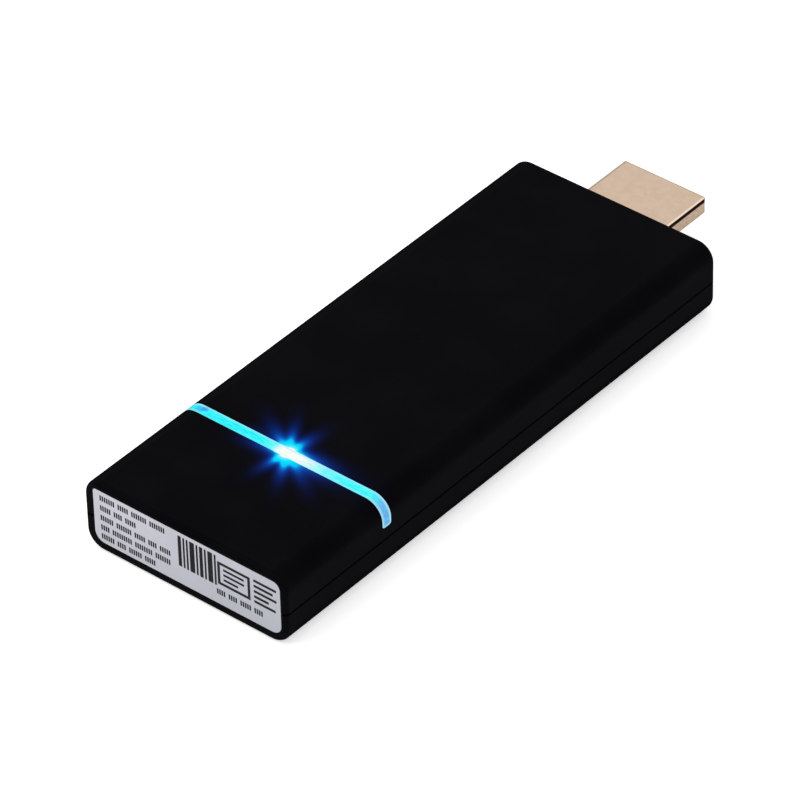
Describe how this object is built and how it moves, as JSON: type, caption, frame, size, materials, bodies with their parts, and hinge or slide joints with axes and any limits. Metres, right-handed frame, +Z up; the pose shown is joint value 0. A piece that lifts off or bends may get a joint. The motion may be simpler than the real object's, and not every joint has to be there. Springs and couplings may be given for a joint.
{
  "type": "streaming media stick",
  "caption": "Slim black stick that plugs into a television, with a glowing band over its top, a rose gold video plug, a power socket and a small reset button.",
  "frame": {"origin": "on the resting face, under the middle of the overall box, plug included", "axes": "+X to the right across the width, +Y along the length towards the video plug, +Z up through the top face with the light band"},
  "size_m": [0.0336, 0.0982, 0.0109],
  "materials": {
    "shell": "satin",
    "light_guide": "frosted",
    "label": "semi-gloss film",
    "plug_metal": "rose gold plated",
    "black_plastic": "matte",
    "plunger_plastic": "matte",
    "gold": "gold plated",
    "steel": "tinned",
    "board": "solder mask",
    "chip": "matte",
    "thermal_pad": "matte",
    "spreader": "mill",
    "ferrite": "matte",
    "ceramic": "matte",
    "lamp": "clear",
    "foam": "foam",
    "lead_jacket": "satin"
  },
  "bodies": {
    "housing": {"upper_shell": "shell", "lower_shell": "shell", "light_guide": "light_guide", "end_label": "label", "plug_shell": "plug_metal", "plug_insulator": "black_plastic", "plug_contacts": "gold", "main_board": "board", "board_screws": "steel", "socket_shell": "steel", "socket_tongue": "black_plastic", "socket_contacts": "gold", "switch_base": "black_plastic", "switch_cover": "steel", "processor": "chip", "memory_chips": "chip", "flash_chip": "chip", "power_chip": "chip", "thermal_pad": "thermal_pad", "heat_spreader": "spreader", "power_coils": "ferrite", "line_filters": "ferrite", "capacitors": "ceramic", "resistors": "black_plastic", "crystal": "steel", "status_led": "lamp", "led_gasket": "foam", "wifi_module": "board", "wifi_shield": "steel", "antenna_board": "board", "antenna_lead": "lead_jacket", "antenna_plug": "gold"},
    "button": {"reset_button": "shell"},
    "plunger": {"switch_plunger": "plunger_plastic"}
  },
  "joints": [
    {"name": "reset_press", "type": "slide", "parent": "housing", "child": "button", "axis": [1, 0, 0], "range_m": [0, 0.00025], "stiffness_N_per_m": 800, "springref_m": -0.0005},
    {"name": "switch_press", "type": "slide", "parent": "housing", "child": "plunger", "axis": [1, 0, 0], "range_m": [0, 0.00025]}
  ],
  "couplings": [
    {"joint": "switch_press", "follows": "reset_press", "ratio": 1}
  ]
}
